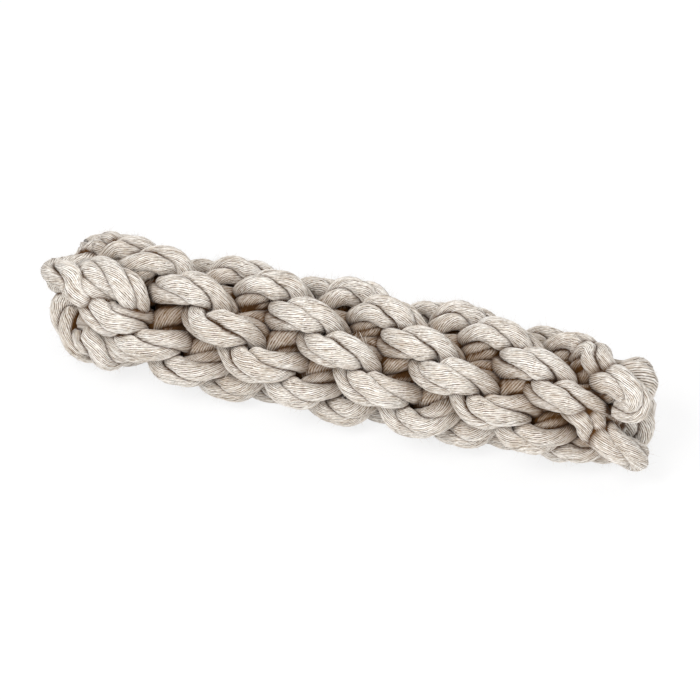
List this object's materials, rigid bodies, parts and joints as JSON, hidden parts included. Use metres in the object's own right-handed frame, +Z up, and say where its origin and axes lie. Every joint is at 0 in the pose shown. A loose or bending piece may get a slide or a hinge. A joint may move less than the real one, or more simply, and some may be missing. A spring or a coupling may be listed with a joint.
{
  "type": "rope dog toy",
  "caption": "Chew and fetch stick for a dog: thick natural cotton ropes worked into a round crown sinnet, with the ends looped back and tucked in.",
  "frame": {"origin": "middle of the underside: centre of the bounding box in plan, at the flats that the stick rests on", "axes": "+X along the stick, +Z up from the floor that it lies on, -Y towards the viewer of the picture"},
  "size_m": [0.2516, 0.0546, 0.0533],
  "materials": {
    "cotton_rope": "matte"
  },
  "bodies": {
    "root": {"rope_1": "cotton_rope", "rope_2": "cotton_rope", "rope_3": "cotton_rope", "rope_4": "cotton_rope"}
  },
  "joints": []
}
